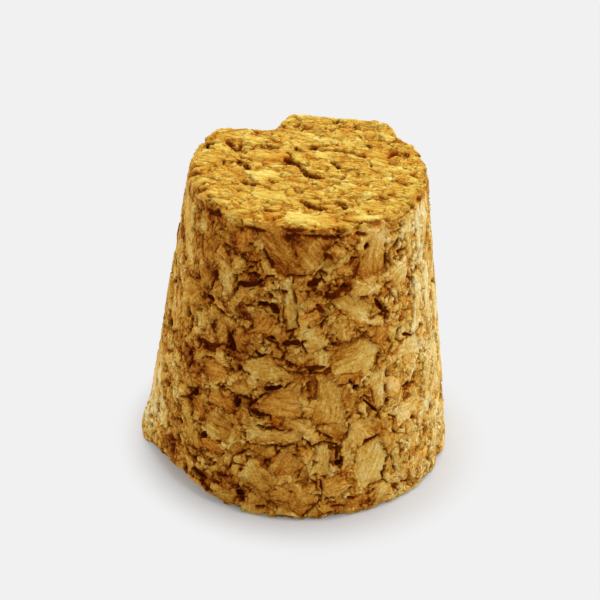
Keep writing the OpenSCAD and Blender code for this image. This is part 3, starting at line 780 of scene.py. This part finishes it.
def relief(skin):
    """Height of each vertex along its normal, and how dark the gap makes it, partly with painted shade."""
    points = skin.points
    on_top = rise(0.6, 0.9, skin.normals[:, 2])
    wander = 0.35 + 2.0 * noise(points, 0.7, 3, 2)
    half = skin.gap * np.clip(wander, 0, 2.2)
    in_gap = 1 - rise(half * 0.5, half + 0.06, skin.edge)
    in_gap *= rise(0.01, 0.05, half)
    fibres = noise(skin.grain * (0.25, 1, 1), 0.55, 8, 2)
    ridges = noise(crumb_places(skin), 0.6, 9, 2)
    fine = 0.03 * fibres + (0.03 + 0.03 * on_top) * ridges
    # Torn fibres leave short creases in the narrow face.
    crease = 1 - rise(0, 0.2, np.abs(noise(crumb_places(skin) * (0.7, 1.3, 1), 0.9, 11)))
    crease *= on_top * rise(-0.1, 0.4, noise(points, 1.5, 12))
    fine -= 0.06 * crease
    height = skin.lift - skin.sunk * in_gap - skin.pit + fine + 0.10 * noise(points, 5.0, 5)
    height = np.minimum(height, 0.12 + 0.08 * on_top) + raised_lip(points) + standing_corner(points)
    height += skin.broken * (0.22 * noise(points, 1.7, 6, 2) - 0.1)
    # Gaps and pits are painted dark, partly the cork's own dark walls and partly painted shade that the
    # shallow relief does not cast.
    dark = np.max([in_gap * rise(0.1, 0.4, skin.sunk), rise(0.05, 0.4, skin.pit), skin.in_gap], axis=0)
    # Painted highlight and painted shade: what stands proud is painted paler and what lies deeper darker.
    # Seams are darker too.
    skin.tone += np.clip((1 + 0.7 * on_top) * (skin.lift + fine), -0.25, 0.12)
    seam = np.exp(-(skin.edge / 0.13) ** 2) * np.clip(0.6 + 0.8 * noise(points, 1.2, 10, 2), 0, 1)
    skin.tone -= (0.17 - 0.09 * on_top) * seam
    skin.tone += 0.1 * (1 - on_top) * (0.56 - skin.tone)
    return height, dark


def crumb_places(skin):
    """Places at which the material sets its finest crumbs: drawn out into slivers on the narrow face."""
    turn = math.radians(FACE_TURN[0])
    along = skin.jagged @ np.array([math.cos(turn), math.sin(turn), 0])
    across = skin.jagged @ np.array([-math.sin(turn), math.cos(turn), 0])
    slivers = np.column_stack([0.45 * along, 1.4 * across, 1.4 * skin.jagged[:, 2]])
    return np.where(skin.normals[:, 2:] > 0.65, slivers, skin.jagged)


def add_attribute(mesh, name, values):
    """Gives each vertex a number, or three of them."""
    kind, key = ("FLOAT", "value") if values.ndim == 1 else ("FLOAT_VECTOR", "vector")
    attribute = mesh.attributes.new(name, kind, "POINT")
    attribute.data.foreach_set(key, np.ascontiguousarray(values, dtype=np.float32).ravel())


def jagged_body():
    """The even body, its outward directions, and its faces, with its straight edges made ragged."""
    points, faces = even_body()
    normals = unit(evened(vertex_normals(points, faces), faces, times=25))
    stray = ragged(points, 40, fine=0.06, size=0.25)
    stray -= normals * (stray * normals).sum(axis=1, keepdims=True)
    return points + stray, normals, faces


def finished_skin():
    """The stopper's skin as one mesh object."""
    points, normals, faces = jagged_body()
    skin = Skin(points, normals)
    lay_crumbs(skin)
    lay_random_granules(skin)
    lay_slivers(skin)
    lay_placed_flakes(skin)
    sink_pits(skin)
    patches_and_painted_light(skin)
    height, dark = relief(skin)
    moved = points + skin.normals * height[:, None]
    moved[:, 2] = np.clip(moved[:, 2], 0, LENGTH + LIP[3])
    mesh = bpy.data.meshes.new("fine_skin")
    mesh.from_pydata((moved * MM).tolist(), [], faces.tolist())
    add_attribute(mesh, "tone", skin.tone)
    add_attribute(mesh, "warmth", skin.warmth)
    add_attribute(mesh, "dark", dark)
    add_attribute(mesh, "end", rise(0.4, 0.9, np.abs(skin.normals[:, 2])))
    add_attribute(mesh, "fibrous", rise(0.08, 0.24, skin.edge) * skin.laid)
    add_attribute(mesh, "crumb", crumb_places(skin))
    add_attribute(mesh, "grain", skin.grain)
    fine = placed("fine_skin", mesh)
    thinned = fine.modifiers.new("thinned", "DECIMATE")
    thinned.ratio = MOST_TRIANGLES / len(faces)
    thinned.use_collapse_triangulate = True
    result = modified(fine)
    bpy.data.objects.remove(fine)
    result.name = "stopper_skin"
    result.validate()
    result.shade_smooth()
    return placed("stopper_skin", result)


# -------- materials

def srgb(r, g, b):
    """A colour given as 0 to 255, as Blender wants it."""
    def linear(c):
        c /= 255
        return c / 12.92 if c <= 0.04045 else ((c + 0.055) / 1.055) ** 2.4
    return (linear(r), linear(g), linear(b), 1.0)


class Graph:
    """Short names for building the nodes of a material or a world."""

    def __init__(self, owner, shader, output):
        owner.use_nodes = True
        self.owner = owner
        self.nodes = owner.node_tree.nodes
        self.links = owner.node_tree.links
        self.shader = self.nodes[shader]
        self.output = self.nodes[output]

    def add(self, kind, inputs=(), **settings):
        node = self.nodes.new(kind)
        for key, value in settings.items():
            setattr(node, key, value)
        self.fill(node, inputs)
        return node

    def fill(self, node, inputs):
        """Gives a node's inputs values, or links them to other nodes' outputs."""
        for key, value in dict(inputs).items():
            if isinstance(value, bpy.types.NodeSocket):
                self.links.new(value, node.inputs[key])
            else:
                node.inputs[key].default_value = value

    def attribute(self, name, output="Fac"):
        return self.add("ShaderNodeAttribute", attribute_name=name).outputs[output]

    def math(self, operation, a, b, clamp=False):
        return self.add("ShaderNodeMath", {0: a, 1: b}, operation=operation, use_clamp=clamp).outputs[0]

    def plus(self, a, b):
        return self.math("ADD", a, b)

    def minus(self, a, b):
        return self.math("SUBTRACT", a, b)

    def times(self, a, b):
        return self.math("MULTIPLY", a, b)

    def seen(self):
        """1 for what the camera sees, directly, in a reflection or through glass."""
        path = self.add("ShaderNodeLightPath").outputs
        direct = self.math("MAXIMUM", path["Is Camera Ray"], path["Is Glossy Ray"])
        return self.math("MAXIMUM", direct, path["Is Transmission Ray"])

    def spread(self, value, amount):
        """A noise value moved to lie around 0, times an amount."""
        return self.times(self.minus(value, 0.5), amount)

    def noise(self, vector, scale, detail=3.0, roughness=0.55, output="Fac"):
        inputs = {"Vector": vector, "Scale": scale, "Detail": detail, "Roughness": roughness}
        return self.add("ShaderNodeTexNoise", inputs).outputs[output]

    def shards(self, vector, scale, width):
        """Voronoi cells: 1 on their seams, a number for each, and a height that leans each one's face."""
        inputs = {"Vector": vector, "Scale": scale}
        edges = self.add("ShaderNodeTexVoronoi", inputs, feature="DISTANCE_TO_EDGE")
        cells = self.add("ShaderNodeTexVoronoi", inputs)
        seam = self.minus(1.0, self.math("DIVIDE", edges.outputs["Distance"], width * scale, True))
        lean = self.vector_math("SUBTRACT", cells.outputs["Color"], (0.5, 0.5, 0.5))
        offset = self.vector_math("SUBTRACT", vector, cells.outputs["Position"])
        face = self.vector_math("DOT_PRODUCT", lean, offset, "Value")
        return seam, self.add("ShaderNodeSeparateXYZ", {0: lean}).outputs[0], face

    def vector_math(self, operation, a, b, output="Vector"):
        return self.add("ShaderNodeVectorMath", {0: a, 1: b}, operation=operation).outputs[output]

    def stretched(self, vector, scale):
        return self.vector_math("MULTIPLY", vector, scale)

    def turned(self, vector, axis, angle):
        inputs = {"Vector": vector, "Axis": axis, "Angle": math.radians(angle)}
        return self.add("ShaderNodeVectorRotate", inputs, rotation_type="AXIS_ANGLE").outputs[0]

    def pick(self, which, a, b):
        """a where which is 0 and b where it is 1, for vectors."""
        return self.add("ShaderNodeMix", {"Factor": which, 4: a, 5: b}, data_type="VECTOR").outputs[1]

    def mix(self, share, a, b, blend="MIX"):
        """The same for colours, with a share in between or a way to blend them."""
        inputs = {"Factor": share, 6: a, 7: b}
        return self.add("ShaderNodeMix", inputs, data_type="RGBA", blend_type=blend).outputs[2]

    def ramp(self, value, stops):
        node = self.add("ShaderNodeValToRGB", {0: value})
        elements = node.color_ramp.elements
        while len(elements) < len(stops):
            elements.new(0.5)
        for element, (place, colour) in zip(elements, stops):
            element.position = place
            element.color = colour
        return node.outputs["Color"]


CORK_TONES = [
    (0.00, srgb(92, 29, 1)),
    (0.18, srgb(150, 77, 12)),
    (0.38, srgb(192, 123, 34)),
    (0.58, srgb(219, 162, 66)),
    (0.78, srgb(238, 196, 102)),
    (1.00, srgb(252, 230, 168)),
]
# Colour of gaps and pits: partly the cork's dark walls, partly painted shade.
GAP_BROWN_AND_SHADE = srgb(136, 52, 4)
RED_TINT = srgb(255, 228, 190)
OLIVE_TINT = srgb(246, 248, 224)
END_TINT = srgb(243, 255, 232)  # the cut ends are yellower


def material_graph(name):
    return Graph(bpy.data.materials.new(name), "Principled BSDF", "Material Output")


def cork_material():
    g = material_graph("cork")
    place = g.stretched(g.add("ShaderNodeTexCoord").outputs["Object"], (1 / MM,) * 3)
    grain = g.attribute("grain", "Vector")
    streaks = g.noise(g.stretched(grain, (0.6, 3.2, 3.2)), 1.0, 4.0, 0.65)
    # A granule's fibres fade out at its edge, because the next granule's run another way.
    fibrous = g.attribute("fibrous")
    streaks = g.plus(g.times(g.spread(streaks, 1.0), fibrous), 0.5)
    mottle = g.noise(place, 1.3, 3.0, 0.6)
    speckle = g.noise(place, 4.0, 4.0, 0.7)
    tone = g.attribute("tone")
    end = g.attribute("end")
    even = g.minus(1.0, g.times(end, 0.5))
    for value, amount in ((streaks, 1.0), (mottle, 0.4), (speckle, 0.8)):
        tone = g.plus(tone, g.times(g.spread(value, amount), even))
    # The finest shards lie in patches, drawn out two ways, and show least on the faces of the large granules.
    crumb = g.attribute("crumb", "Vector")
    crumb = g.vector_math("ADD", crumb, g.stretched(g.noise(place, 3.0, 2.0, 0.6, "Color"), (0.5,) * 3))
    one_way = g.stretched(g.turned(crumb, (0, 1, 0), 62), (0.55, 1.1, 1.1))
    other_way = g.stretched(g.turned(crumb, (0, 1, 0), -18), (0.5, 1.1, 1.1))
    patch = g.math("GREATER_THAN", g.noise(place, 0.28, 1.0), 0.5)
    drawn_out = g.pick(g.math("GREATER_THAN", end, 0.5), g.pick(patch, one_way, other_way), crumb)
    seam, number, face = g.shards(drawn_out, scale=1.25, width=0.08)
    crumbly = g.minus(1.0, g.times(fibrous, 0.75))
    # The crumbs lie another way on the ends, so they fade out where one way gives way to the other.
    settled = g.spread(end, 2.0)
    crumbly = g.times(crumbly, g.times(settled, settled))
    seam = g.times(seam, g.times(crumbly, mottle))
    tone = g.minus(tone, g.times(seam, 0.5))
    number = g.times(number, g.times(crumbly, even))
    tone = g.plus(tone, g.times(number, 0.36))
    # Gaps and pits are darkened and turned brown, partly painted shade.
    dark = g.attribute("dark")
    tone = g.minus(tone, g.times(dark, 0.38))
    colour = g.ramp(tone, CORK_TONES)
    warmth = g.attribute("warmth")
    colour = g.mix(g.math("MAXIMUM", warmth, 0.0, True), colour, RED_TINT, "MULTIPLY")
    colour = g.mix(g.math("MULTIPLY", warmth, -1.0, True), colour, OLIVE_TINT, "MULTIPLY")
    colour = g.mix(g.times(end, g.math("MULTIPLY", tone, 1.5, True)), colour, END_TINT, "MULTIPLY")
    colour = g.mix(g.math("POWER", dark, 2.0, True), colour, GAP_BROWN_AND_SHADE)
    rough = g.math("ADD", 0.8, g.spread(mottle, 0.3), True)
    height = g.plus(g.spread(streaks, 1.4), g.spread(speckle, 1.2))
    height = g.minus(height, seam)
    height = g.plus(height, g.times(g.times(face, crumbly), 2.5))
    bump = g.add("ShaderNodeBump", {"Strength": 1.0, "Distance": 0.16 * MM, "Height": height}).outputs[0]
    g.fill(g.shader, {"Base Color": colour, "Roughness": rough, "Specular IOR Level": 0.05, "Normal": bump})
    return g.owner


PAPER = 241  # grey of the pale floor and background, of 255
SHADED_FLOOR = 200  # grey of the floor that takes the shadow
# The floor turns from paper with a shadow into even paper between these distances from the shadow's middle.
SHADOW_MIDDLE = (0.8 * MM, -1.5 * MM, 0)
SHADOW_FADES = (13.7 * MM, 18.7 * MM)
EVEN_SHARES = (0.15, 0.99)


def floor_material():
    g = material_graph("floor")
    grey, paper = (srgb(*(level,) * 3) for level in (SHADED_FLOOR, PAPER))
    g.fill(g.shader, {"Base Color": grey, "Roughness": 1.0, "Specular IOR Level": 0.0})
    even = g.add("ShaderNodeEmission", {"Color": paper})
    place = g.add("ShaderNodeTexCoord").outputs["Object"]
    away = g.vector_math("DISTANCE", place, SHADOW_MIDDLE, "Value")
    sockets = ("Value", "From Min", "From Max", "To Min", "To Max")
    ends = dict(zip(sockets, (away, *SHADOW_FADES, *EVEN_SHARES)))
    fade = g.add("ShaderNodeMapRange", ends, interpolation_type="SMOOTHSTEP")
    share = g.times(g.seen(), fade.outputs["Result"])
    mixed = g.add("ShaderNodeMixShader", {0: share, 1: g.shader.outputs[0], 2: even.outputs[0]})
    g.fill(g.output, {"Surface": mixed.outputs[0]})
    return g.owner


# -------- floor, lights and camera

def make_floor():
    bm = bmesh.new()
    bmesh.ops.create_grid(bm, x_segments=1, y_segments=1, size=3.0)
    floor = new_object(bm, "floor")
    floor.data.materials.append(floor_material())


# Lamps: name, azimuth, elevation, distance and size in metres, watts.
LAMPS = [
    ("key", 170, 62, 0.6, 0.7, 1.5),
    ("right", 102, 52, 0.6, 0.9, 3.9),
    ("left", -110, 26, 0.6, 0.7, 1.7),
]
WORLD_LIGHT = 0.56  # how strongly the world lights the object
WORLD_SEEN = 0.88  # how bright the camera sees it


def aimed(name, data, azimuth, elevation, distance, roll=0):
    """A new object that faces the stopper's middle from a distance in metres."""
    e = math.radians(elevation)
    back = Vector(outwards(azimuth) * math.cos(e)) + Vector((0, 0, math.sin(e)))
    obj = placed(name, data)
    obj.location = Vector((0, 0, LENGTH * MM / 2)) + back * distance
    turn = back.to_track_quat("Z", "Y").to_matrix() @ Matrix.Rotation(math.radians(roll), 3, "Z")
    obj.rotation_euler = turn.to_euler()
    return obj


def area_light(name, azimuth, elevation, distance, size, watts):
    """A round soft lamp."""
    data = bpy.data.lights.new(name, "AREA")
    data.shape = "DISK"
    data.size = size
    data.energy = watts
    aimed(name, data, azimuth, elevation, distance)


def make_world():
    g = Graph(bpy.data.worlds.new("studio"), "Background", "World Output")
    strength = g.plus(g.times(g.seen(), WORLD_SEEN - WORLD_LIGHT), WORLD_LIGHT)
    g.fill(g.shader, {"Color": (1, 1, 1, 1), "Strength": strength})
    bpy.context.scene.world = g.owner


CAMERA_DISTANCE = 260.5  # from the stopper's middle, in millimetres
CAMERA_ELEVATION = 33.95
CAMERA_ROLL = 2.86
CAMERA_LENS = 163.4
CAMERA_SHIFT = (-0.0038, 0.0029)


def make_camera():
    data = bpy.data.cameras.new("camera")
    data.lens = CAMERA_LENS
    data.clip_start = 0.01
    data.clip_end = 20
    data.shift_x, data.shift_y = CAMERA_SHIFT
    bpy.context.scene.camera = aimed("camera", data, 0, CAMERA_ELEVATION, CAMERA_DISTANCE * MM, CAMERA_ROLL)


# -------- the whole scene

bpy.context.scene.view_settings.view_transform = "Standard"
make_camera()
make_floor()
make_world()
for lamp in LAMPS:
    area_light(*lamp)

stopper = finished_skin()
stopper.data.materials.append(cork_material())
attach(stopper, "root")
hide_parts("stopper")
